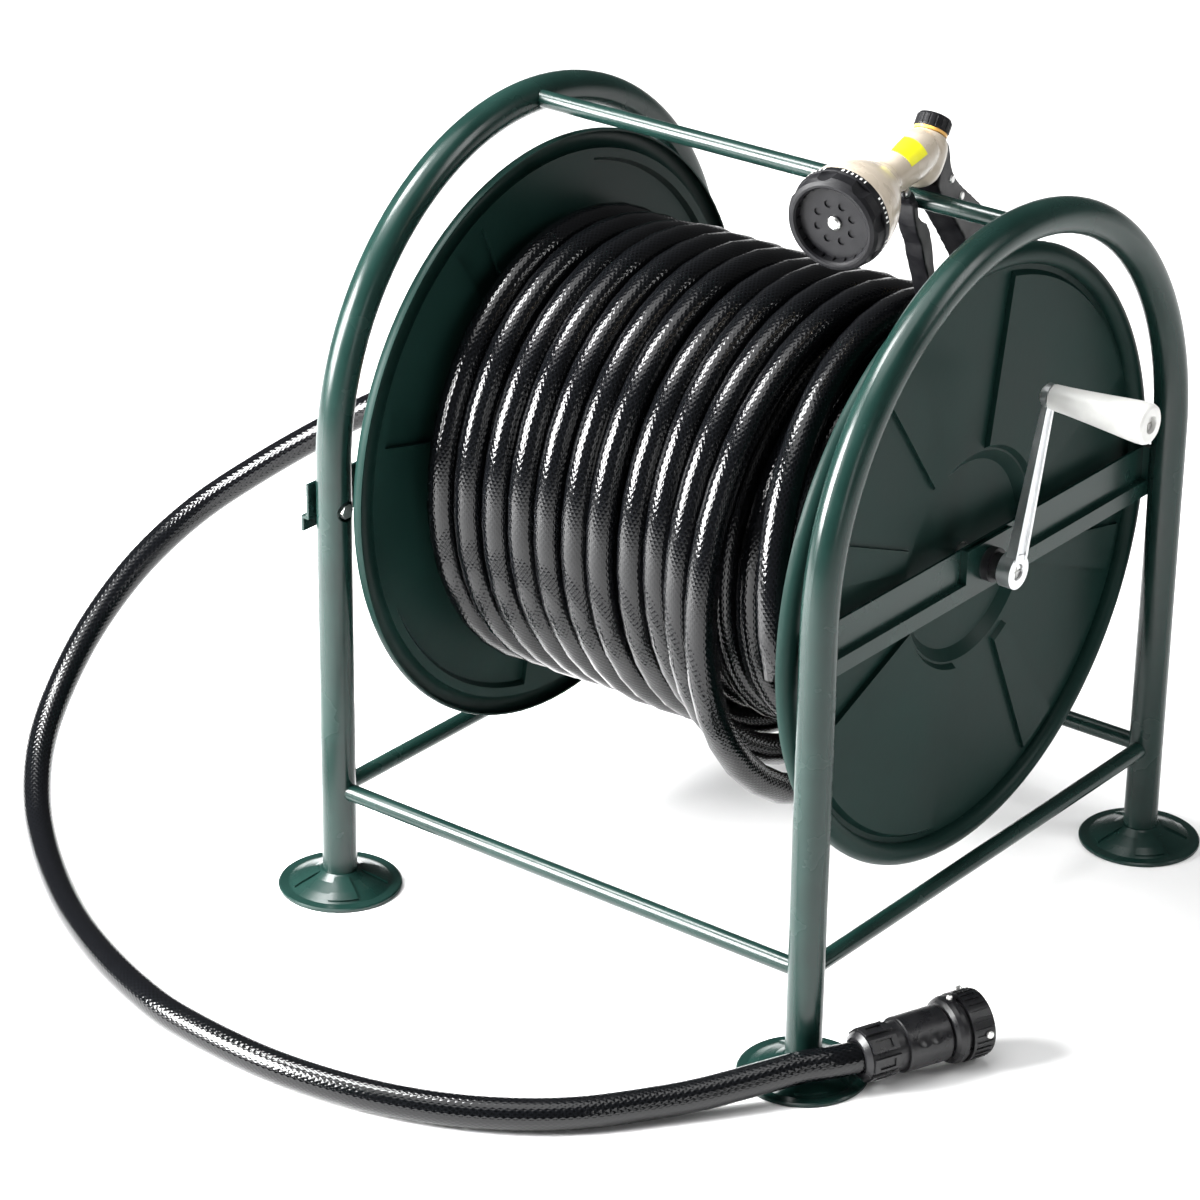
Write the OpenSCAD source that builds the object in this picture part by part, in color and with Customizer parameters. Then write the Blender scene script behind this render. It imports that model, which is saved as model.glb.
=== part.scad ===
// Garden hose reel stand: two tube hoops on disc feet, a cranked reel of hose,
// a leader hose and a spray gun.
// Millimetres, +Z up, the crank side is +X, the front of the stand is -Y.

/* [Stand] */
// Half distance between the two hoops
hoop_x = 210; // [180:1:240]
// Half distance between the legs of one hoop
leg_y = 217.7; // [200:0.1:240]
// Outside diameter of the hoop tube
hoop_od = 25.4; // [19:0.1:32]
// Wall of the hoop tube
hoop_wall = 1.6; // [1.2:0.1:3]
// Height where the straight legs turn into the half-circle top
arc_z = 334.5; // [300:0.5:380]
// Diameter of the rails
rail_od = 12.7; // [10:0.1:16]
// Height of the floor rails
rail_z = 79.2; // [60:0.1:120]
// Height of the top rail
top_z = 552.7; // [540:0.1:560]
// Radius of a disc foot
foot_r = 45.6; // [35:0.1:60]

/* [Reel] */
// Height of the reel axle
axle_z = 303; // [280:0.5:330]
// Outer radius of the flange discs
disc_r = 224; // [180:1:230]
// Radius of the rolled bead round a disc
bead_r = 8; // [4:0.5:10]
// Half width between the disc plates
plate_x = 181.2; // [150:0.1:185]
// Radius of the drum core
drum_r = 129; // [80:0.5:140]
// Outside diameter of the hose
hose_od = 22.5; // [15:0.1:26]
// Spacing of the turns along the drum
turn_pitch = 24; // [20:0.1:30]
// Length of the crank arm
crank_l = 126.3; // [90:0.1:150]

/* [Spray gun] */
// Where the gun hangs along the top rail
gun_x = 125.7; // [60:0.1:130]
// Nose-down angle of the hanging gun
gun_pitch = 7.6; // [0:0.1:30]
// Outward turn of the hanging gun
gun_yaw = 7.2; // [0:0.1:30]
// Radius of the spray dial
dial_r = 34.6; // [20:0.1:35]

/* [Show] */
// Which piece to draw

/* [Hidden] */
$fn = 48;
hr = hoop_od / 2;
rr = rail_od / 2;
shift_x = -11.6;
sheet = 1.2;
bore_gap = 0.05;
hose_r = hose_od / 2;
crank_y = 24;
crank_z = 427;
crank_a = -atan(crank_y / (crank_z - axle_z));
fit_p = [250, -211, 24.5];
fit_a = 68.3;
gun_w = 33.6;
hose_route = [[-262, 0, 303], [-285, 0, 303], [-312, -3, 298], [-345, -12, 281], [-384, -30, 255],
    [-426, -60, 222], [-463, -94, 187], [-485, -135, 151], [-492, -180, 114], [-485, -225, 80],
    [-464, -270, 53], [-428, -312, 32], [-380, -350, 18], [-320, -388, 12], [-258, -419, 12],
    [-200, -440, 12], [-150, -451, 12], [-73, -455, 12], [-8, -447, 12], [48, -430, 12],
    [96, -404, 12], [136, -370, 12], [170, -327, 13], [188, -303, 15], [203, -281, 18],
    [216, -262, 21], [228, -244, 23.5], [240, -229, 24.5], [250, -211, 24.5], [254.5, -199.8, 24.5]];

module place() translate([shift_x, 0, 0]) children();

// local X, Y, Z become world Y, Z, X: a turned profile then lies on the reel axis
module about_x() rotate([90, 0, 90]) children();
module axle(y = 0, z = axle_z) translate([0, y, z]) about_x() children();

module fitting() translate(fit_p) rotate([0, 0, fit_a]) rotate([0, 90, 0]) children();
module gun() translate([gun_x, 0, top_z]) rotate([gun_pitch, 0, gun_yaw]) children();
// along the barrel: local Z of the turned profile points forward
module barrel() translate([0, 0, gun_w]) rotate([90, 0, 0]) children();

module ring(r_out, r_in, z0, z1) {
    rotate_extrude() translate([r_in, z0]) square([r_out - r_in, z1 - z0]);
}

// ---------------------------------------------------------------- stand
module hoop_path(r) {
    for (s = [-1, 1]) translate([0, s * leg_y, 14]) cylinder(r = r, h = arc_z - 14);
    translate([0, 0, arc_z]) about_x() rotate_extrude(angle = 180) translate([leg_y, 0]) circle(r = r);
}

module hoop(s) {
    difference() {
        union() {
            difference() {
                translate([s * hoop_x, 0, 0]) hoop_path(hr);
                translate([s * hoop_x, 0, 0]) hoop_path(hr - hoop_wall);
            }
            if (s < 0) for (t = [-1, 1]) axle(t * leg_y) intersection() {
                translate([0, 0, -203.2]) cylinder(r = 9.6, h = 5);
                rotate([90, 0, 0]) translate([0, -hoop_x, -20]) cylinder(r = hr, h = 40);
            }
        }
        if (s < 0) for (t = [-1, 1]) axle(t * leg_y) {
            translate([0, 0, -201.3]) cylinder(r = 8, h = 10);
            translate([0, 0, -230]) cylinder(r = 3.3, h = 40);
        }
    }
}

module hoop_left() { color([0.13, 0.22, 0.2]) place() hoop(-1); }
module hoop_right() { color([0.13, 0.22, 0.2]) place() hoop(1); }

module leg_cut() {
    for (s = [-1, 1], t = [-1, 1]) translate([s * hoop_x, t * leg_y, 0]) cylinder(r = hr + 0.02, h = 200);
}

module rail_x(y) {
    color([0.13, 0.22, 0.2]) place() difference() {
        translate([0, y, rail_z]) about_x() translate([0, 0, -hoop_x]) cylinder(r = rr, h = 2 * hoop_x);
        leg_cut();
    }
}

module rail_y(x) {
    color([0.13, 0.22, 0.2]) place() difference() {
        translate([x, leg_y, rail_z]) rotate([90, 0, 0]) cylinder(r = rr, h = 2 * leg_y);
        leg_cut();
    }
}

module rail_front() { rail_x(-leg_y); }
module rail_rear() { rail_x(leg_y); }
module rail_side_left() { rail_y(-hoop_x); }
module rail_side_right() { rail_y(hoop_x); }

module top_rail() {
    color([0.13, 0.22, 0.2]) place() difference() {
        translate([0, 0, top_z]) about_x() translate([0, 0, -hoop_x]) cylinder(r = rr, h = 2 * hoop_x);
        for (s = [-1, 1]) translate([s * hoop_x, 0, arc_z]) about_x()
            rotate_extrude() translate([leg_y, 0]) circle(r = hr + 0.02);
    }
}

// pressed disc: flat rim on the floor, stepped crown, four raised facets, hollow underneath
module foot(s, t) {
    color([0.13, 0.22, 0.2]) place() translate([s * hoop_x, t * leg_y, 0]) difference() {
        union() {
            rotate_extrude() polygon([[0, 0], [foot_r, 0], [foot_r, 1.8], [foot_r - 1, 2.6],
                [38, 2.8], [30, 6.5], [20, 10.5], [14, 14], [0, 14]]);
            for (a = [45 : 90 : 315]) rotate([0, 0, a - 18])
                rotate_extrude(angle = 36) polygon([[16, 9], [36, 1], [36, 5], [30, 8], [21, 11.6],
                    [16, 13.5]]);
        }
        translate([0, 0, -0.01]) rotate_extrude() polygon([[0, 0], [37, 0], [29.4, 4.3], [19.4, 8.3],
            [13.4, 11.8], [0, 11.8]]);
    }
}

module foot_front_left() { foot(-1, -1); }
module foot_front_right() { foot(1, -1); }
module foot_rear_left() { foot(-1, 1); }
module foot_rear_right() { foot(1, 1); }

// pressed bar 7 deep: lower lip outside, ledge, web set back, full-depth pad at the middle
module bar(w) {
    translate([0, -w, 294]) cube([2, 2 * w, 27]);
    translate([5, -w, 284]) cube([2, 2 * w, 12]);
    translate([0, -w, 294]) cube([7, 2 * w, 2]);
    translate([5, -28, 284]) cube([2, 56, 37]);
    for (y = [-28, 26]) translate([0, y, 294]) cube([7, 2, 27]);
}

module crossbar_right() {
    color([0.13, 0.22, 0.2]) place() difference() {
        union() {
            translate([193, 0, 0]) bar(214);
            for (t = [-1, 1]) translate([193, t * 211.5 - 3.5, 284]) cube([7, 7, 37]);
        }
        for (t = [-1, 1]) translate([hoop_x, t * leg_y, 200]) cylinder(r = hr + 0.02, h = 200);
        axle() translate([0, 0, 180]) cylinder(r = 10.55, h = 30);
    }
}

module crossbar_left() {
    color([0.13, 0.22, 0.2]) place() difference() {
        translate([-222.72, 0, 0]) mirror([1, 0, 0]) bar(231);
        axle() translate([0, 0, -240]) cylinder(r = 12.45, h = 30);
        for (t = [-1, 1]) axle(t * leg_y) translate([0, 0, -240]) cylinder(r = 3.3, h = 30);
        for (t = [-1, 1]) axle(t * leg_y) translate([0, 0, -240]) cylinder(r = 9, h = 15.2);
    }
}

module bolt(t) {
    color([0.75, 0.75, 0.74]) place() axle(t * leg_y) {
        translate([0, 0, -201.3]) cylinder(r = 5.77, h = 4, $fn = 6);
        translate([0, 0, -234.7]) cylinder(r = 3, h = 34);
    }
}

module nut(t) {
    color([0.75, 0.75, 0.74]) place() axle(t * leg_y) difference() {
        translate([0, 0, -229.7]) cylinder(r = 5.77, h = 4.96, $fn = 6);
        translate([0, 0, -240]) cylinder(r = 3.05, h = 30);
    }
}

module bolt_front() { bolt(-1); }
module bolt_rear() { bolt(1); }
module nut_front() { nut(-1); }
module nut_rear() { nut(1); }

module bearing_left() {
    color([0.06, 0.06, 0.06]) place() axle() {
        ring(12.4, 10 + bore_gap, -230, -221);
        ring(16, 10 + bore_gap, -233.7, -229.74);
    }
}

module bearing_right() {
    color([0.06, 0.06, 0.06]) place() axle() {
        ring(10.5, 8 + bore_gap, 193.5, 200.02);
        ring(12.4, 8 + bore_gap, 200.02, 206);
        ring(9.5, 8 + bore_gap, 205.9, 213.2);
    }
}

// ---------------------------------------------------------------- reel
// profile of one disc, drawn for the +X side: x is radius, y is the height off the reel's middle
module disc_profile() {
    translate([77, plate_x]) square([131.8, sheet]);
    polygon([[9, plate_x - 6], [69, plate_x - 6], [77, plate_x], [77, plate_x + sheet],
        [76.4, plate_x + sheet], [68.6, plate_x - 6 + sheet], [9, plate_x - 6 + sheet]]);
    difference() {
        translate([disc_r - bead_r, plate_x + 1.8]) circle(r = bead_r);
        translate([disc_r - bead_r, plate_x + 1.8]) circle(r = bead_r - sheet);
        translate([disc_r - bead_r - 12, plate_x - 12]) square([12, 12]);
        translate([disc_r - bead_r - 0.1, plate_x - 12]) square([12, 11]);
    }
}

module panel(a0, a1, r0, r1, h, low) {
    rotate([0, 0, a0]) rotate_extrude(angle = a1 - a0)
        polygon([[r0, -low], [r0, 0], [r0 + 3, h], [r1 - 3, h], [r1, 0], [r1, -low]]);
}

module disc() {
    difference() {
        union() {
            rotate_extrude() disc_profile();
            for (b = [0, 180]) translate([0, 0, plate_x + sheet]) {
                panel(23 + b, 80 + b, 78, 204, 4, 0.6);
                panel(115 + b, 126 + b, 82, 202, 3, 0.6);
                panel(158 + b, 168 + b, 82, 202, 3, 0.6);
            }
        }
        for (b = [0, 180]) translate([0, 0, plate_x]) {
            panel(24 + b, 79 + b, 79.5, 202.5, 4, 4);
            panel(116 + b, 125 + b, 83.5, 200.5, 3, 4);
            panel(159 + b, 167 + b, 83.5, 200.5, 3, 4);
        }
    }
}

module flange_right() { color([0.13, 0.22, 0.2]) place() axle() disc(); }

module flange_left() {
    color([0.13, 0.22, 0.2]) place() mirror([1, 0, 0]) axle() difference() {
        disc();
        translate([0, 0, 170]) cylinder(r = 10.1, h = 12);
    }
}

module drum_core() {
    color([0.13, 0.22, 0.2]) place() axle() difference() {
        ring(drum_r, drum_r - 1.5, 0.1 - plate_x, plate_x - 0.1);
        // slot where the hose comes out of the drum beside the crank-side disc
        rotate([0, 0, 236]) rotate_extrude(angle = 52) translate([120, 147]) square([15, 30]);
    }
}

// hollow pipe that carries the water from the swivel into the drum
module spindle() {
    color([0.8, 0.72, 0.45]) place() axle() {
        ring(10, 6, -257, 150);
        ring(24, 9.9, -plate_x + 6.02, -plate_x + 10);
    }
}

module set_collar() {
    color([0.75, 0.75, 0.74]) place() axle() ring(15, 10.02, -219, -209);
}

module axle_stub() {
    color([0.75, 0.75, 0.74]) place() axle() difference() {
        union() {
            translate([0, 0, 171]) cylinder(r = 24, h = 4.18);
            translate([0, 0, 171]) cylinder(r = 8, h = 48);
        }
        translate([0, 0, 203]) cylinder(r = 2.5, h = 20);
    }
}

// brass elbow inside the drum: out from the pipe end, then along the start of the first turn
module outlet_elbow() {
    color([0.8, 0.72, 0.45]) place() axle() translate([0, 0, 158]) {
        difference() {
            union() {
                translate([0, 0, -11]) cylinder(r = 12, h = 12);
                sphere(r = 12);
                rotate([0, 0, 228]) rotate([0, 90, 0]) cylinder(r = 7, h = 108);
                rotate([0, 0, 228]) translate([111, 0, 0]) {
                    sphere(r = 9);
                    rotate([-90, 0, 0]) cylinder(r = 8, h = 16);
                }
            }
            translate([0, 0, -12]) cylinder(r = 10.02, h = 4.02);
            translate([0, 0, -9]) cylinder(r = 6, h = 9);
        }
    }
}

// two layers of turns, the outer one short of the crank side, and two slack turns that hang low
module turn(r, x, low, thick) {
    translate([0, -low, x]) rotate_extrude() translate([r, 0]) circle(r = thick);
}

module hose_inner_layer() {
    color([0.09, 0.1, 0.12]) place() axle() {
        ring(drum_r + 14, drum_r + 0.3, -176, 176);
        for (i = [0 : 14]) turn(140.1, -168 + i * turn_pitch, 0, hose_r - 0.6);
    }
}

module hose_outer_layer() {
    color([0.09, 0.1, 0.12]) place() axle() {
        ring(drum_r + 36, drum_r + 22.2, -176, 52);
        for (i = [0 : 9]) turn(161.9, -168 + i * turn_pitch, 0, hose_r - 0.6);
    }
}

module hose_slack_turns() {
    color([0.09, 0.1, 0.12]) place() axle() {
        turn(179, 91.2, 17, hose_r - 0.6);
        turn(170, 69.7, 8, hose_r - 0.6);
    }
}

module hose_end_coupling() {
    color([0.8, 0.72, 0.45]) place() axle() rotate([0, 0, -20]) translate([163, -17, 146])
        rotate([-90, 0, 0]) difference() {
            union() {
                cylinder(r = 12, h = 20);
                translate([0, 0, 20]) cylinder(r = 13, h = 14, $fn = 8);
            }
            translate([0, 0, 22]) cylinder(r = 9.5, h = 20);
        }
}

module crank_arm() {
    color([0.13, 0.22, 0.2]) place() axle() difference() {
        union() {
            translate([0, 0, 213.5]) cylinder(r = 12.5, h = 10.5);
            rotate([0, 0, crank_a]) {
                intersection() {
                    translate([0, 0, 210]) linear_extrude(24) polygon([[-7.5, 0], [7.5, 0], [5, crank_l],
                        [-5, crank_l]]);
                    translate([-9, 0, 0]) about_x() linear_extrude(18)
                        polygon([[0, 216], [0, 222.6], [crank_l, 226.6], [crank_l, 224]]);
                }
                for (s = [-1, 1]) intersection() {
                    translate([0, 0, 210]) linear_extrude(24) polygon([[s * 7.5, 8], [s * 4.9, 8],
                        [s * 3, crank_l - 6], [s * 5, crank_l - 6]]);
                    translate([-9, 0, 0]) about_x() linear_extrude(18)
                        polygon([[8, 218], [8, 224.6], [crank_l - 6, 228], [crank_l - 6, 225]]);
                }
                translate([0, crank_l, 223.7]) cylinder(r = 8.6, h = 4.3);
            }
        }
        translate([0, 0, 213]) cylinder(r = 8.02, h = 6);
        translate([0, 0, 218.9]) cylinder(r = 6, h = 6);
        rotate([0, 0, crank_a]) translate([0, crank_l, 210]) cylinder(r = 4.02, h = 20);
    }
}

module crank_screw() {
    color([0.75, 0.75, 0.74]) place() axle() {
        translate([0, 0, 206]) cylinder(r = 2.45, h = 14);
        difference() {
            translate([0, 0, 219.02]) cylinder(r = 5.4, h = 3);
            translate([-6, -0.6, 221]) cube([12, 1.2, 2]);
            translate([-0.6, -6, 221]) cube([1.2, 12, 2]);
        }
    }
}

module grip_pin() {
    color([0.75, 0.75, 0.74]) place() axle(crank_y, crank_z) {
        translate([0, 0, 221.6]) cylinder(r = 4, h = 79.4);
        translate([0, 0, 221.6]) cylinder(r = 6.5, h = 1.9);
        difference() {
            translate([0, 0, 300.1]) cylinder(r = 5.6, h = 3);
            translate([-6, -0.6, 302.2]) cube([12, 1.2, 2]);
            translate([-0.6, -6, 302.2]) cube([1.2, 12, 2]);
        }
    }
}

module crank_grip() {
    color([0.9, 0.9, 0.88]) place() axle(crank_y, crank_z) rotate_extrude() difference() {
        union() {
            polygon([[0, 228.3], [8.2, 228.3], [9, 229.2], [9.5, 240], [10.4, 252], [11.6, 266],
                [12.9, 280],
                [14, 292], [14.5, 299], [14.4, 303], [13.6, 305], [12, 306.1], [0, 306.4]]);
        }
        translate([0, 228]) square([4 + bore_gap, 80]);
        translate([0, 300]) square([6.3, 12]);
    }
}

// ---------------------------------------------------------------- inlet side
module swivel_body() {
    color([0.08, 0.08, 0.09]) place() axle() difference() {
        union() {
            translate([0, 0, -262]) cylinder(r = 15, h = 24);
            translate([0, 0, -257]) cylinder(r = 17, h = 6, $fn = 8);
            translate([0, 0, -283]) cylinder(r = 7.5, h = 22);
        }
        translate([0, 0, -258]) cylinder(r = 10 + bore_gap, h = 30);
        translate([0, 0, -290]) cylinder(r = 5, h = 40);
        ring(12.5, 9, -247.2, -243.8);
    }
}

module swivel_seal() {
    color([0.03, 0.03, 0.03]) place() axle() translate([0, 0, -245.5])
        rotate_extrude() translate([11.35, 0]) circle(r = 1.1);
}

module hose_clamp() {
    color([0.75, 0.75, 0.74]) place() axle() {
        ring(hose_r + 1.1, hose_r + 0.1, -276, -267);
        translate([-4, hose_r + 1, -276]) cube([8, 6, 9]);
        translate([-9, hose_r + 4.2, -271.5]) rotate([0, 90, 0]) cylinder(r = 2.6, h = 6);
    }
}

function unit3(v) = v / norm(v);
function route_dir(i) = let (n = len(hose_route) - 1)
    unit3(hose_route[min(i + 1, n)] - hose_route[max(i - 1, 0)]);

module leader_hose() {
    sides = 12;
    count = len(hose_route);
    pts = [for (i = [0 : count - 1], j = [0 : sides - 1])
        let (t = route_dir(i), n = unit3(cross(t, [0, 0, 1])), b = cross(n, t), a = j * 360 / sides)
            hose_route[i] + hose_r * (cos(a) * n + sin(a) * b)];
    walls = [for (i = [0 : count - 2], j = [0 : sides - 1])
        let (k = (j + 1) % sides)
            [i * sides + j, (i + 1) * sides + j, (i + 1) * sides + k, i * sides + k]];
    ends = [[for (j = [0 : sides - 1]) j], [for (j = [sides - 1 : -1 : 0]) (count - 1) * sides + j]];
    color([0.09, 0.1, 0.12]) place() polyhedron(points = pts, faces = concat(walls, ends), convexity = 10);
}

module hose_nut() {
    color([0.08, 0.08, 0.09]) place() fitting() difference() {
        union() {
            translate([0, 0, 2]) cylinder(r = 17.2, h = 23);
            for (a = [0 : 45 : 315]) rotate([0, 0, a]) translate([0, -5, 3]) cube([18.4, 10, 21]);
            rotate_extrude() polygon([[hose_r + 0.3, -1], [13.5, -1], [17.2, 2], [hose_r + 0.3, 2]]);
        }
        for (a = [0 : 45 : 315]) rotate([0, 0, a]) translate([17.2, -3.2, 7]) cube([4, 6.4, 12.5]);
        translate([0, 0, -2]) cylinder(r = hose_r + 0.3, h = 15);
        translate([0, 0, 12]) cylinder(r = 15, h = 20);
    }
}

module connector_body() {
    color([0.08, 0.08, 0.09]) place() fitting() difference() {
        union() {
            translate([0, 0, 12.2]) cylinder(r = 14.9, h = 14);
            translate([0, 0, 25.02]) cylinder(r = 17, h = 19);
            translate([0, 0, 43]) cylinder(r = 14, h = 22);
        }
        translate([0, 0, 10]) cylinder(r = 5.5, h = 40);
        translate([0, 0, 48]) cylinder(r = 8 + bore_gap, h = 20);
    }
}

// sleeve that is pulled back to let the plug go, with two oval finger hollows
module release_collar() {
    color([0.1, 0.1, 0.11]) place() fitting() difference() {
        rotate_extrude() polygon([[17.05, 31.5], [19.2, 31.5], [19.7, 32.3], [19.7, 65.4], [18.8, 66.6],
            [14.05, 66.6], [14.05, 50.5], [17.05, 50.5]]);
        for (a = [60, 240]) rotate([0, 0, a]) {
            translate([30.5, 0, 44]) sphere(r = 13);
            translate([30.5, 0, 53]) sphere(r = 13);
        }
    }
}

module adaptor_body() {
    color([0.08, 0.08, 0.09]) place() fitting() difference() {
        union() {
            translate([0, 0, 51]) cylinder(r = 8, h = 18);
            rotate_extrude() polygon([[0, 66.9], [16, 66.9], [20, 68], [22.6, 70], [23.8, 73], [23.9, 76],
                [22.8, 78.6], [20.9, 79.6], [20.9, 97], [0, 97]]);
        }
        translate([0, 0, 45]) cylinder(r = 5.5, h = 40);
        translate([0, 0, 76]) cylinder(r = 17, h = 30);
    }
}

module adaptor_sleeve() {
    color([0.04, 0.04, 0.04]) place() fitting() ring(16.95, 12, 76.02, 96);
}

module adaptor_ring() {
    color([0.1, 0.1, 0.11]) place() fitting() difference() {
        union() {
            ring(23.6, 20.95, 79.8, 97.6);
            ring(24.4, 20.95, 79.8, 82);
            for (i = [0 : 29]) rotate([0, 0, i * 12]) translate([22, -0.9, 81]) cube([2.4, 1.8, 14.6]);
        }
        for (a = [22 : 120 : 262]) rotate([0, 0, a]) translate([0, 0, 92]) rotate([0, 90, 0])
            cylinder(r = 2.7, h = 40);
    }
}

module clamp_screws() {
    color([0.75, 0.75, 0.74]) place() fitting() {
        for (a = [22 : 120 : 262]) rotate([0, 0, a]) translate([20.95, 0, 92]) rotate([0, 90, 0]) {
            cylinder(r = 2.6, h = 4.6);
            translate([0, 0, 4.5]) cylinder(r1 = 2.6, r2 = 1.6, h = 1.2);
        }
        rotate([0, 0, 178]) translate([23.95, 0, 74.5]) rotate([0, 90, 0]) {
            cylinder(r = 2.2, h = 1.6);
            translate([0, 0, 1.5]) cylinder(r1 = 2.2, r2 = 1.2, h = 1);
        }
    }
}

// ---------------------------------------------------------------- spray gun
module gun_body() {
    color([0.83, 0.84, 0.72]) place() gun() {
        difference() {
            barrel() rotate_extrude() polygon([[0, -17], [7, -16], [12, -12.5], [15, -6], [16.1, 2],
                [16.2, 12],
                [15.6, 22], [14.5, 32], [13.6, 42], [13.6, 47.98], [0, 47.98]]);
            translate([0, 0, 33.6]) rotate([90, 0, 0]) translate([0, 0, 30]) cylinder(r = 3.05, h = 30);
        }
        // valve housing under the knob: a round body that ends in a ball over the rail
        knob_axis() rotate_extrude() polygon([[0, -38.6], [6, -37.4], [11.2, -34], [14.6, -29], [16, -22.6],
            [16, -13], [15.2, -7], [13.6, -3], [11.4, 0], [0, 0]]);
        translate([0, -24, 15.5]) difference() {
            translate([-2.5, 0, 0]) about_x() linear_extrude(5)
                polygon([[-6, 9], [-4.5, -2], [-2, -4.2], [2, -4.2], [4.5, -2], [9, 9]]);
            about_x() translate([0, 0, -15]) cylinder(r = 2.02, h = 30);
        }
    }
}

module gun_bell() {
    color([0.83, 0.84, 0.72]) place() gun() barrel() rotate_extrude() difference() {
        polygon([[0, 48], [14.4, 48], [16.3, 52], [21.5, 62], [26.5, 72], [30.5, 82], [33, 92], [34, 101],
            [34, 103.2], [0, 103.2]]);
        translate([-1, 45]) square([7, 60]);
        translate([-1, 94]) square([24, 10]);
    }
}

module gun_dial() {
    color([0.07, 0.07, 0.08]) place() gun() barrel() difference() {
        rotate_extrude() polygon([[0, 103.5], [dial_r, 103.5], [dial_r, 108], [dial_r - 0.9, 109],
            [dial_r - 1.4, 116.5], [dial_r - 3, 119.4], [dial_r - 5.5, 120.6], [27.6, 120.6], [26.4, 119.4],
            [25.6, 114.4], [0, 114.4]]);
        for (i = [0 : 7]) rotate([0, 0, i * 45 + 10]) translate([45.9, 0, 108.5]) cylinder(r = 14.2, h = 20);
        for (i = [0 : 19]) rotate([0, 0, i * 18]) translate([25.6, 0, 113.9]) cylinder(r = 1.1, h = 4);
        for (a = [0 : 45 : 315]) rotate([0, 0, a + 20]) translate([13.5, 0, 113.2])
            cylinder(r = 2.8, h = 3);
        translate([0, 0, 90]) cylinder(r = 3 + bore_gap, h = 40);
    }
}

module dial_screw() {
    color([0.75, 0.75, 0.74]) place() gun() barrel() {
        translate([0, 0, 34]) cylinder(r = 3, h = 81.2);
        rotate_extrude() polygon([[0, 114.7], [4.8, 114.7], [4.8, 115.8], [3.4, 117], [0, 117.4]]);
    }
}

module gun_handle() {
    color([0.06, 0.06, 0.07]) place() gun() difference() {
        translate([-11, 0, 0]) about_x() linear_extrude(22)
            polygon([[11, 5.6], [16, -5], [24, -16.5], [32.7, -28], [48, -49], [66, -76], [72, -86],
                [98, -66],
                [88, -50.5], [79.7, -41], [63.5, -25.4], [50, -13], [40.8, -3.6], [34, 6], [31, 15.8],
                [29.4, 28], [25.5, 34], [20, 30], [14, 12]]);
        knob_axis() rotate_extrude() polygon([[0, -38.9], [6, -37.7], [11.4, -34.3], [14.9, -29.2],
            [16.3, -22.7], [16.3, -13], [15.5, -6.8], [13.8, -2.8], [11.6, 3], [0, 3]]);
        for (q = [[31.6, 2], [45.5, -17]]) translate([0, q[0], q[1]]) about_x() translate([0, 0, -20])
            cylinder(r = 1.6, h = 40);
        translate([0, 76.3, -64]) rotate([-141.7, 0, 0]) cylinder(r = 8.02, h = 40);
    }
}

module handle_rivets() {
    color([0.75, 0.75, 0.74]) place() gun() for (q = [[31.6, 2],
        [45.5, -17]]) translate([0, q[0], q[1]]) about_x() {
        translate([0, 0, -11.1]) cylinder(r = 1.55, h = 22.2);
        for (s = [0, 1]) mirror([0, 0, s]) translate([0, 0, 11.02]) cylinder(r1 = 3.2, r2 = 2.4, h = 1);
    }
}

module trigger() {
    color([0.05, 0.05, 0.06]) place() gun() difference() {
        union() {
            translate([-6, 0, 0]) about_x() linear_extrude(12)
                polygon([[-28.4, 14], [-27, 17.4], [-22, 17.4], [-15, 12], [-11.5, 6], [-9.9, -3],
                    [-15.5, -3],
                    [-18, 4], [-21, 9], [-26, 11]]);
            translate([-7, 0, 0]) about_x() linear_extrude(14)
                polygon([[-17.4, 3], [-9.9, 3], [-9.9, -4], [-9.4, -9], [-5, -14], [2, -19], [5.5, -25],
                    [9, -36],
                    [11.6, -55], [14, -76], [12.6, -79.6], [8.6, -79.6], [7.2, -76], [1.1, -57.8],
                        [-4, -42.5],
                    [-6.9, -30.7], [-12, -21], [-14.6, -14], [-16, -8], [-17, -2]]);
        }
        translate([-2.7, -40, 9]) cube([5.4, 30, 20]);
        translate([0, -24, 15.5]) about_x() translate([0, 0, -15]) cylinder(r = 2.05, h = 30);
    }
}

module trigger_pin() {
    color([0.75, 0.75, 0.74]) place() gun() translate([0, -24, 15.5]) about_x() {
        translate([0, 0, -7]) cylinder(r = 2, h = 14);
        translate([0, 0, 6.1]) cylinder(r1 = 3.2, r2 = 2.4, h = 1.4);
        translate([0, 0, -7.5]) cylinder(r1 = 2.4, r2 = 3.2, h = 1.4);
    }
}

// local Z runs up the axis of the flow knob, from the seat of its ring
module knob_axis() translate([0, 21.5, 38.3]) rotate([-46, 0, 0]) children();

module flow_knob() {
    color([0.07, 0.07, 0.08]) place() gun() knob_axis() translate([0, 0, 2.1]) difference() {
        rotate_extrude() polygon([[0, 0], [12, 0], [12.5, 1.4], [12.5, 8], [11.2, 10], [8, 11], [0, 11.3]]);
        for (i = [0 : 17]) rotate([0, 0, i * 20]) translate([13, 0, -1]) cylinder(r = 0.9, h = 9.6);
    }
}

module knob_ring() {
    color([0.9, 0.5, 0.12]) place() gun() knob_axis() translate([0, 0, 0.02]) cylinder(r = 11.9, h = 2);
}

module gun_label() {
    color([0.93, 0.82, 0.1]) place() gun() barrel() rotate([0, 0, 24]) rotate_extrude(angle = 74)
        polygon([[16.25, 11], [16.6, 11.2], [16, 21.8], [15, 31], [14.65, 31.2], [15.7, 21.8]]);
}

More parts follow.
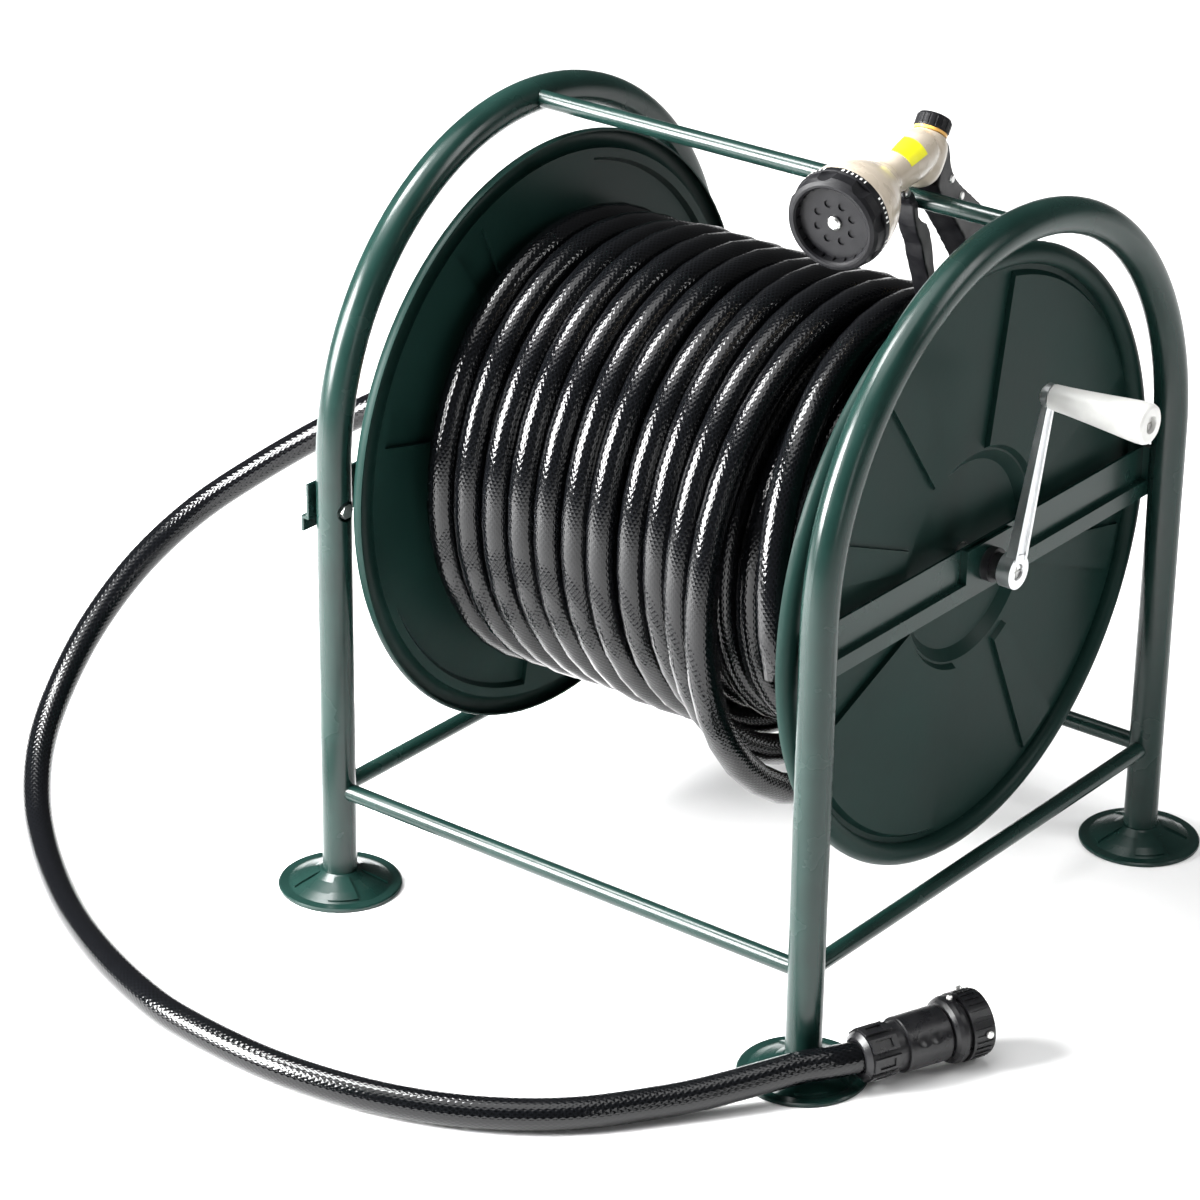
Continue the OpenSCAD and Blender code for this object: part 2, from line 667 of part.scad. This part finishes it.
module inlet_tail() {
    color([0.8, 0.72, 0.45]) place() gun() translate([0, 76.3, -64]) rotate([-141.7, 0, 0]) difference() {
        union() {
            cylinder(r = 8, h = 16);
            translate([0, 0, 15.2]) cylinder(r = 10.4, h = 4, $fn = 6);
            translate([0, 0, 15.2]) cylinder(r = 9, h = 12.8);
        }
        translate([0, 0, 2]) cylinder(r = 5, h = 40);
    }
}

hoop_left();
hoop_right();
rail_front();
rail_rear();
rail_side_left();
rail_side_right();
top_rail();
foot_front_left();
foot_front_right();
foot_rear_left();
foot_rear_right();
crossbar_left();
crossbar_right();
bolt_front();
bolt_rear();
nut_front();
nut_rear();
bearing_left();
bearing_right();
flange_left();
flange_right();
drum_core();
spindle();
set_collar();
axle_stub();
outlet_elbow();
hose_inner_layer();
hose_outer_layer();
hose_slack_turns();
hose_end_coupling();
crank_arm();
crank_screw();
grip_pin();
crank_grip();
swivel_body();
swivel_seal();
hose_clamp();
leader_hose();
hose_nut();
connector_body();
release_collar();
adaptor_body();
adaptor_ring();
adaptor_sleeve();
clamp_screws();
gun_body();
gun_bell();
gun_dial();
dial_screw();
gun_handle();
handle_rivets();
trigger();
trigger_pin();
flow_knob();
knob_ring();
gun_label();
inlet_tail();
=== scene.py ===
import math

import bmesh
import bpy
from mathutils import Matrix, Vector


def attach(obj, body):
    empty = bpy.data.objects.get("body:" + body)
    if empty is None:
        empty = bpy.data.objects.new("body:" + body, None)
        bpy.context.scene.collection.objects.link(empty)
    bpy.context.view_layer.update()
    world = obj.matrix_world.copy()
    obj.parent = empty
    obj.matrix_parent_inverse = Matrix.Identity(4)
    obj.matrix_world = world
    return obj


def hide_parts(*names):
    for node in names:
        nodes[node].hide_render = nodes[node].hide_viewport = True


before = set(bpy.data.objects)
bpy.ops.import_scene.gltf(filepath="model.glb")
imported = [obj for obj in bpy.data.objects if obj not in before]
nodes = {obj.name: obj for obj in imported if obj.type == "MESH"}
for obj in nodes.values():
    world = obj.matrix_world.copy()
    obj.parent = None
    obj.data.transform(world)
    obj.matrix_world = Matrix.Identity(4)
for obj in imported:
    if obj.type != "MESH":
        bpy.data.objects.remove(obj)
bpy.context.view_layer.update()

# ---- Camera ----------------------------------------------------------------
# A long lens from the front right, above the reel, slightly rolled. The stand itself stands a
# little to the left of the middle of the frame's box.
stand_x = -0.0116
pan, tilt_down, roll = 37.725, 25.415, 0.84
camera_data = bpy.data.cameras.new("studio_camera")
camera_data.lens = 127.3
camera_data.sensor_width = 36.0
camera_data.shift_x = -0.0096
camera_data.shift_y = 0.0161
camera_data.clip_end = 50.0
camera = bpy.data.objects.new("studio_camera", camera_data)
bpy.context.scene.collection.objects.link(camera)
camera.matrix_world = (
    Matrix.Translation((1.6251 + stand_x, -2.2676, 1.5223))
    @ Matrix.Rotation(math.radians(pan), 4, "Z")
    @ Matrix.Rotation(math.radians(90 - tilt_down), 4, "X")
    @ Matrix.Rotation(math.radians(roll), 4, "Z")
)
bpy.context.scene.camera = camera


# ---- Leader hose -----------------------------------------------------------
# Black PVC garden hose over a braid, 22.5 mm across. It leaves the swivel level, bends down
# under its own weight and lies round the front of the stand to its tap connector.
hose_d = 0.0225
hose_r = hose_d / 2


def smooth_route(points, steps):
    """A rounded line through the points."""
    pts = [Vector(p) for p in points]
    pts = [2 * pts[0] - pts[1]] + pts + [2 * pts[-1] - pts[-2]]
    line = []
    for i in range(1, len(pts) - 2):
        a, b, c, d = pts[i - 1:i + 3]
        for k in range(steps):
            t = k / steps
            line.append(0.5 * (2 * b + (c - a) * t + (2 * a - 5 * b + 4 * c - d) * t * t
                               + (3 * b - a - 3 * c + d) * t ** 3))
    line.append(pts[-2])
    return line


def hose_skin(name, line, radius, sides):
    """A closed tube along a line, with a map that runs round and along it in metres."""
    mesh = bpy.data.meshes.new(name)
    bm = bmesh.new()
    uv = bm.loops.layers.uv.new("along")
    tangents = []
    for i in range(len(line)):
        tangents.append((line[min(i + 1, len(line) - 1)] - line[max(i - 1, 0)]).normalized())
    side = tangents[0].cross(Vector((0, 0, 1)))
    side = side.normalized() if side.length > 1e-6 else Vector((0, 1, 0))
    rings, run = [], [0.0]
    for i, p in enumerate(line):
        side = (side - side.dot(tangents[i]) * tangents[i]).normalized()
        other = tangents[i].cross(side)
        rings.append([bm.verts.new(p + radius * (math.cos(2 * math.pi * j / sides) * side
                                                 + math.sin(2 * math.pi * j / sides) * other))
                      for j in range(sides)])
        if i:
            run.append(run[-1] + (p - line[i - 1]).length)
    girth = 2 * math.pi * radius
    for i in range(len(rings) - 1):
        for j in range(sides):
            k = (j + 1) % sides
            face = bm.faces.new((rings[i][j], rings[i][k], rings[i + 1][k], rings[i + 1][j]))
            face.smooth = True
            spots = ((j, i), (j + 1, i), (j + 1, i + 1), (j, i + 1))
            for loop, (u, v) in zip(face.loops, spots):
                loop[uv].uv = (girth * u / sides, run[v])
    bm.faces.new(list(reversed(rings[0])))
    bm.faces.new(rings[-1])
    bmesh.ops.recalc_face_normals(bm, faces=bm.faces)
    bm.to_mesh(mesh)
    bm.free()
    piece = bpy.data.objects.new(name, mesh)
    bpy.context.scene.collection.objects.link(piece)
    return piece, run[-1]


def link(tree, source, out, target, into):
    tree.links.new(source.outputs[out], target.inputs[into])


def braided_pvc(name):
    """Glossy black PVC with the crossed braid showing through as fine diamonds."""
    braid_angle, braid_scale = 33, 115
    mat = bpy.data.materials.new(name)
    mat.use_nodes = True
    tree = mat.node_tree
    pvc = tree.nodes["Principled BSDF"]
    pvc.inputs["Specular IOR Level"].default_value = 0.3
    where = tree.nodes.new("ShaderNodeUVMap")
    where.uv_map = "along"
    waves = []
    for turn in (braid_angle, -braid_angle):
        aim = tree.nodes.new("ShaderNodeMapping")
        aim.inputs["Rotation"].default_value = (0, 0, math.radians(turn))
        link(tree, where, "UV", aim, "Vector")
        strands = tree.nodes.new("ShaderNodeTexWave")
        strands.wave_type = "BANDS"
        strands.bands_direction = "X"
        strands.inputs["Scale"].default_value = braid_scale
        strands.inputs["Distortion"].default_value = 0.6
        strands.inputs["Detail"].default_value = 1
        strands.inputs["Detail Scale"].default_value = 2
        link(tree, aim, "Vector", strands, "Vector")
        waves.append(strands)
    weave = tree.nodes.new("ShaderNodeMath")
    weave.operation = "MAXIMUM"
    link(tree, waves[0], "Fac", weave, 0)
    link(tree, waves[1], "Fac", weave, 1)
    place = tree.nodes.new("ShaderNodeTexCoord")
    cloud = tree.nodes.new("ShaderNodeTexNoise")
    cloud.inputs["Scale"].default_value = 40
    cloud.inputs["Detail"].default_value = 5
    link(tree, place, "Object", cloud, "Vector")
    tint = tree.nodes.new("ShaderNodeValToRGB")
    tint.color_ramp.elements[0].position = 0.35
    tint.color_ramp.elements[0].color = (0.0008, 0.0009, 0.0011, 1)
    tint.color_ramp.elements[1].position = 0.95
    tint.color_ramp.elements[1].color = (0.003, 0.0033, 0.004, 1)
    link(tree, weave, 0, tint, "Fac")
    link(tree, tint, "Color", pvc, "Base Color")
    dull = tree.nodes.new("ShaderNodeMapRange")
    dull.inputs["From Min"].default_value = 0.3
    dull.inputs["From Max"].default_value = 0.7
    dull.inputs["To Min"].default_value = 0.07
    dull.inputs["To Max"].default_value = 0.13
    link(tree, cloud, "Fac", dull, "Value")
    link(tree, dull, "Result", pvc, "Roughness")
    relief = tree.nodes.new("ShaderNodeBump")
    relief.inputs["Strength"].default_value = 0.28
    relief.inputs["Distance"].default_value = 0.0004
    link(tree, weave, 0, relief, "Height")
    link(tree, relief, "Normal", pvc, "Normal")
    return mat


hose_black = braided_pvc("hose_black")

leader_route = [
    (-0.262, 0, 0.303), (-0.285, 0, 0.303), (-0.312, -0.003, 0.298), (-0.345, -0.012, 0.281),
    (-0.384, -0.03, 0.255), (-0.426, -0.06, 0.222), (-0.463, -0.094, 0.187),
    (-0.485, -0.135, 0.151), (-0.492, -0.18, 0.114), (-0.485, -0.225, 0.08),
    (-0.464, -0.27, 0.053), (-0.428, -0.312, 0.032), (-0.38, -0.35, 0.018),
    (-0.32, -0.388, 0.012), (-0.258, -0.419, 0.012), (-0.2, -0.44, 0.012), (-0.15, -0.451, 0.012),
    (-0.073, -0.455, 0.012), (-0.008, -0.447, 0.012), (0.048, -0.43, 0.012),
    (0.096, -0.404, 0.012), (0.136, -0.37, 0.012), (0.17, -0.327, 0.013), (0.188, -0.303, 0.015),
    (0.203, -0.281, 0.018), (0.216, -0.262, 0.021), (0.228, -0.244, 0.0235),
    (0.24, -0.229, 0.0245), (0.25, -0.211, 0.0245), (0.2545, -0.1998, 0.0245),
]
leader_line = smooth_route([(x + stand_x, y, z) for x, y, z in leader_route], 8)
leader, _ = hose_skin("leader_hose_skin", leader_line, hose_r, 28)
leader.data.materials.append(hose_black)
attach(leader, "stand")
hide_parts("leader_hose")

# ---- Wound hose ------------------------------------------------------------
# The same hose wound on the drum: it comes out of the drum wall by the crank, fills one layer
# to the far disc, comes back in a second layer, and its last turns hang slack.
axle_z = 0.303
drum_slot_x, slot_r, slot_turn = 0.158, 0.111, 235.0
inner_r, outer_r, turn_pitch = 0.1406, 0.161, 0.024
inner_turns, outer_turns = 13.9, 11.35
crank_end_x, far_end_x, outer_start_x = 0.166, -0.168, -0.164
steps_per_turn = 40


def drum_point(x, rho, turn):
    a = math.radians(turn)
    return Vector((x + stand_x, rho * math.cos(a), axle_z + rho * math.sin(a)))


def wound_line():
    """The hose from the drum slot to its free end: inner layer, outer layer and slack turns."""
    line = []
    rise, rise_steps = 45, 4
    for k in range(rise_steps + 1):
        part = k / rise_steps
        line.append(drum_point(drum_slot_x + (crank_end_x - drum_slot_x) * part,
                               slot_r + (inner_r - slot_r) * part ** 1.3, slot_turn + rise * part))
    start = slot_turn + rise
    rows = int(inner_turns * steps_per_turn)
    for k in range(1, rows + 1):
        line.append(drum_point(crank_end_x + (far_end_x - crank_end_x) * k / rows, inner_r,
                               start + 360 * k / steps_per_turn))
    start += 360 * rows / steps_per_turn
    climb = steps_per_turn // 2
    for k in range(1, climb + 1):
        part = k / climb
        ease = part * part * (3 - 2 * part)
        line.append(drum_point(far_end_x + (outer_start_x - far_end_x) * part,
                               inner_r + (outer_r - inner_r) * ease,
                               start + 360 * k / steps_per_turn))
    start += 180
    lead_off = 0.45
    rows = int(outer_turns * steps_per_turn)
    for k in range(1, rows + 1):
        done = k / steps_per_turn
        turn = start + 360 * done
        low = 0.5 - 0.5 * math.sin(math.radians(turn))
        slack = (0.017 * min(max(done - 8.6, 0) / 0.8, 1)
                 + 0.021 * min(max(done - 9.8, 0) / 0.7, 1))
        wave = 0.0009 * math.sin(done * 5.1) + 0.0007 * math.sin(done * 2.3 + 1)
        drift = 0.0012 * math.sin(done * 3.7 + 0.5) * (done > 0.8)
        x = outer_start_x + turn_pitch * done + drift
        if done > outer_turns - lead_off:
            x += 0.047 * ((done - outer_turns + lead_off) / lead_off) ** 2
        line.append(drum_point(x, outer_r + wave + slack * low, turn))
    return line


winding_line = wound_line()
winding, winding_length = hose_skin("wound_hose_skin", winding_line, hose_r, 20)
winding.data.materials.append(hose_black)
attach(winding, "reel")
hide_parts("hose_inner_layer", "hose_outer_layer", "hose_slack_turns")


# ---- Stand -----------------------------------------------------------------
# Two tube hoops, floor rails, top rail, disc feet and two pressed crossbars, welded or bolted
# together and dipped in a dark green enamel that pools a little and shines on the tubes.
def finish(name, dark, light, rough, grain=30, bump=0.1, metallic=0.0, coat=0.0, shine=0.5):
    """A finish whose colour, gloss and surface change a little from place to place."""
    mat = bpy.data.materials.new(name)
    mat.use_nodes = True
    tree = mat.node_tree
    skin = tree.nodes["Principled BSDF"]
    skin.inputs["Metallic"].default_value = metallic
    skin.inputs["Specular IOR Level"].default_value = shine
    skin.inputs["Coat Weight"].default_value = coat
    skin.inputs["Coat Roughness"].default_value = 0.12
    place = tree.nodes.new("ShaderNodeTexCoord")
    broad = tree.nodes.new("ShaderNodeTexNoise")
    broad.inputs["Scale"].default_value = grain
    broad.inputs["Detail"].default_value = 4
    link(tree, place, "Object", broad, "Vector")
    fine = tree.nodes.new("ShaderNodeTexNoise")
    fine.inputs["Scale"].default_value = grain * 22
    fine.inputs["Detail"].default_value = 2
    link(tree, place, "Object", fine, "Vector")
    tint = tree.nodes.new("ShaderNodeValToRGB")
    tint.color_ramp.elements[0].position = 0.36
    tint.color_ramp.elements[0].color = (*dark, 1)
    tint.color_ramp.elements[1].position = 0.66
    tint.color_ramp.elements[1].color = (*light, 1)
    link(tree, broad, "Fac", tint, "Fac")
    link(tree, tint, "Color", skin, "Base Color")
    gloss = tree.nodes.new("ShaderNodeMapRange")
    gloss.inputs["From Min"].default_value = 0.3
    gloss.inputs["From Max"].default_value = 0.7
    gloss.inputs["To Min"].default_value = rough[0]
    gloss.inputs["To Max"].default_value = rough[1]
    link(tree, broad, "Fac", gloss, "Value")
    link(tree, gloss, "Result", skin, "Roughness")
    relief = tree.nodes.new("ShaderNodeBump")
    relief.inputs["Strength"].default_value = bump
    relief.inputs["Distance"].default_value = 0.0004
    link(tree, fine, "Fac", relief, "Height")
    link(tree, relief, "Normal", skin, "Normal")
    return mat


def paint(mat, *names):
    """Give carried-over parts their finish."""
    for name in names:
        nodes[name].data.materials.clear()
        nodes[name].data.materials.append(mat)


green_enamel = finish("green_enamel", (0.0042, 0.0160, 0.0132), (0.0064, 0.0225, 0.0186),
                      (0.2, 0.3), grain=18, bump=0.06, shine=0.3)
paint(green_enamel, "hoop_left", "hoop_right", "rail_front", "rail_rear", "rail_side_left",
      "rail_side_right", "top_rail", "foot_front_left", "foot_front_right", "foot_rear_left",
      "foot_rear_right", "crossbar_left", "crossbar_right")

bright_zinc = finish("bright_zinc", (0.62, 0.62, 0.61), (0.78, 0.78, 0.76), (0.28, 0.4), grain=60,
                     bump=0.15, metallic=1.0)
paint(bright_zinc, "bolt_front", "bolt_rear", "nut_front", "nut_rear", "set_collar", "axle_stub",
      "crank_screw", "grip_pin", "hose_clamp", "dial_screw", "handle_rivets", "trigger_pin",
      "clamp_screws")
black_nylon = finish("black_nylon", (0.008, 0.008, 0.009), (0.014, 0.014, 0.015), (0.4, 0.55),
                     grain=80, bump=0.2, shine=0.25)
paint(black_nylon, "bearing_left", "bearing_right")

# ---- Reel discs and drum ---------------------------------------------------
# Two pressed discs with a rolled bead, welded to a sheet drum and dipped in the same enamel,
# which lies thinner and duller on the wide pressed sheet.
disc_enamel = finish("disc_enamel", (0.0042, 0.0150, 0.0125), (0.0065, 0.0215, 0.0180),
                     (0.34, 0.46), grain=9, bump=0.08, shine=0.08)
paint(disc_enamel, "flange_left", "flange_right", "drum_core")
turned_brass = finish("turned_brass", (0.55, 0.38, 0.14), (0.75, 0.56, 0.26), (0.22, 0.36),
                      grain=50, bump=0.12, metallic=1.0)
paint(turned_brass, "spindle", "outlet_elbow", "hose_end_coupling", "inlet_tail")

# ---- Crank -----------------------------------------------------------------
# A pressed bright steel arm screwed to the axle, with a white moulded grip that spins on a pin.
bright_steel = finish("bright_steel", (0.66, 0.67, 0.68), (0.82, 0.83, 0.84), (0.3, 0.42), grain=35,
                      bump=0.08, metallic=1.0)
paint(bright_steel, "crank_arm")
white_moulding = finish("white_moulding", (0.58, 0.58, 0.56), (0.66, 0.66, 0.64), (0.3, 0.42),
                        grain=40, bump=0.08)
paint(white_moulding, "crank_grip")

# ---- Inlet swivel and tap connector ----------------------------------------
# Black moulded fittings with a fine spark-eroded texture.
black_moulding = finish("black_moulding", (0.006, 0.006, 0.007), (0.012, 0.012, 0.013), (0.24, 0.36),
                        grain=70, bump=0.25, shine=0.28)
paint(black_moulding, "swivel_body", "hose_nut", "connector_body", "release_collar", "adaptor_body",
      "adaptor_ring")
seal_rubber = finish("seal_rubber", (0.004, 0.004, 0.004), (0.008, 0.008, 0.008), (0.6, 0.75),
                     grain=90, bump=0.2)
paint(seal_rubber, "swivel_seal", "adaptor_sleeve")

# ---- Spray gun -------------------------------------------------------------
# A cast body in cream enamel, its edges rounded by the mould and the paint, with a black
# moulded handle and trigger. The knob and the spray dial turn.
def soften(name, body, slot, mat, grain, passes, *sources):
    """One piece with mould-rounded edges in the place of some sharp-edged nodes."""
    bpy.ops.object.select_all(action="DESELECT")
    parts = []
    for source in sources:
        part = bpy.data.objects.new(name, nodes[source].data.copy())
        bpy.context.scene.collection.objects.link(part)
        part.select_set(True)
        parts.append(part)
    bpy.context.view_layer.objects.active = parts[0]
    if len(parts) > 1:
        bpy.ops.object.join()
    piece = bpy.context.view_layer.objects.active
    piece.name = name
    bpy.ops.object.mode_set(mode="EDIT")
    bpy.ops.mesh.select_all(action="SELECT")
    bpy.ops.mesh.remove_doubles(threshold=0.00002)
    bpy.ops.object.mode_set(mode="OBJECT")
    cells = piece.modifiers.new("cells", "REMESH")
    cells.mode = "VOXEL"
    cells.voxel_size = grain
    bpy.ops.object.modifier_apply(modifier="cells")
    round_off = piece.modifiers.new("round_off", "SMOOTH")
    round_off.factor = 0.5
    round_off.iterations = passes
    bpy.ops.object.modifier_apply(modifier="round_off")
    bpy.ops.object.shade_smooth()
    piece.data.materials.clear()
    piece.data.materials.append(mat)
    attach(piece, body)
    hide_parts(*sources)


cream_enamel = finish("cream_enamel", (0.40, 0.345, 0.275), (0.48, 0.42, 0.34), (0.2, 0.34), grain=30,
                      bump=0.06, coat=0.3)
grip_black = finish("grip_black", (0.004, 0.004, 0.005), (0.009, 0.009, 0.010), (0.34, 0.5), grain=90,
                    bump=0.25, shine=0.25)
soften("gun_casting", "gun", "cream_paint", cream_enamel, 0.0009, 12, "gun_body", "gun_bell")
soften("gun_grip", "gun", "grip_rubber", grip_black, 0.0009, 7, "gun_handle")
soften("gun_trigger", "trigger", "grip_rubber", grip_black, 0.0007, 6, "trigger")

dial_black = finish("dial_black", (0.005, 0.005, 0.006), (0.010, 0.010, 0.011), (0.34, 0.48), grain=80,
                    bump=0.2, shine=0.14)
paint(dial_black, "gun_dial", "flow_knob")
paint(finish("ring_orange", (0.62, 0.32, 0.06), (0.78, 0.44, 0.10), (0.3, 0.4)), "knob_ring")
paint(finish("label_yellow", (0.70, 0.66, 0.008), (0.76, 0.74, 0.012), (0.3, 0.45)), "gun_label")

# ---- Dial marks ------------------------------------------------------------
# Plain white strokes printed in seven groups on the band round the back of the spray dial.
gun_x, top_rail_z, gun_w = 0.1257, 0.5527, 0.0336
gun_yaw, gun_pitch = 7.2, 7.6
dial_edge, mark_band = 0.03462, 0.1058
groups, marks_in_group, mark_turn = 7, 6, 5.6
gun_place = (
    Matrix.Translation((gun_x + stand_x, 0, top_rail_z))
    @ Matrix.Rotation(math.radians(gun_yaw), 4, "Z")
    @ Matrix.Rotation(math.radians(gun_pitch), 4, "X")
    @ Matrix.Translation((0, 0, gun_w))
    @ Matrix.Rotation(math.radians(90), 4, "X")
)
white_print = finish("white_print", (0.72, 0.72, 0.70), (0.82, 0.82, 0.80), (0.45, 0.6), grain=60)
strokes = []
for group in range(groups):
    for stroke in range(marks_in_group):
        turn = math.radians(group * 360 / groups + stroke * mark_turn + 6)
        tall = (0.0030, 0.0021, 0.0026, 0.0019, 0.0028, 0.0023)[stroke]
        bpy.ops.mesh.primitive_cube_add(size=1)
        mark = bpy.context.object
        mark.data.transform(gun_place @ Matrix.Rotation(turn, 4, "Z")
                            @ Matrix.Translation((dial_edge, 0, mark_band))
                            @ Matrix.Diagonal((0.0003, 0.0009 + 0.0005 * (stroke % 2), tall, 1)))
        strokes.append(mark)
bpy.ops.object.select_all(action="DESELECT")
for mark in strokes:
    mark.select_set(True)
bpy.context.view_layer.objects.active = strokes[0]
bpy.ops.object.join()
dial_marks = bpy.context.object
dial_marks.name = "dial_marks"
dial_marks.data.materials.append(white_print)
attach(dial_marks, "dial")

# ---- Floor and lights ------------------------------------------------------
# A plain white studio floor and soft boxes, so that the tubes carry long soft highlights.
bpy.ops.object.select_all(action="DESELECT")
bpy.ops.mesh.primitive_plane_add(size=60, location=(0, 0, -0.0005))
floor = bpy.context.object
floor.name = "studio_floor"
floor_white = bpy.data.materials.new("floor_white")
floor_white.use_nodes = True
floor_skin = floor_white.node_tree.nodes["Principled BSDF"]
floor_skin.inputs["Base Color"].default_value = (0.9, 0.9, 0.9, 1)
floor_skin.inputs["Roughness"].default_value = 0.9
floor.data.materials.append(floor_white)

world = bpy.data.worlds.new("studio")
bpy.context.scene.world = world
world.use_nodes = True
sky = world.node_tree.nodes["Background"]
sky.inputs["Color"].default_value = (1, 1, 1, 1)
sky.inputs["Strength"].default_value = 0.1


def soft_box(name, at, aim, width, height, watts):
    """A square-cornered lamp that shines at the reel."""
    data = bpy.data.lights.new(name, "AREA")
    data.shape = "RECTANGLE"
    data.size = width
    data.size_y = height
    data.energy = watts
    lamp = bpy.data.objects.new(name, data)
    bpy.context.scene.collection.objects.link(lamp)
    lamp.location = at
    lamp.rotation_euler = (Vector(aim) - Vector(at)).to_track_quat("-Z", "Y").to_euler()


soft_box("window_left", (-1.3, -1.7, 1.12), (0, 0, 0.3), 1.15, 1.15, 290)
soft_box("strip_above", (-1.0, -0.5, 2.1), (0, 0, 0.3), 0.5, 0.9, 75)
soft_box("window_right", (2.0, 1.0, 1.6), (0, 0, 0.3), 0.5, 1.2, 22)
soft_box("front_right", (2.3, -1.2, 0.9), (0.2, 0, 0.3), 0.5, 1.0, 6)
daylight = bpy.data.lights.new("daylight", "SUN")
daylight.energy = 2.3
daylight.angle = math.radians(50)
sky_lamp = bpy.data.objects.new("daylight", daylight)
bpy.context.scene.collection.objects.link(sky_lamp)
sky_lamp.rotation_euler = (math.radians(10), math.radians(-8), 0)

bpy.context.scene.view_settings.view_transform = "Standard"
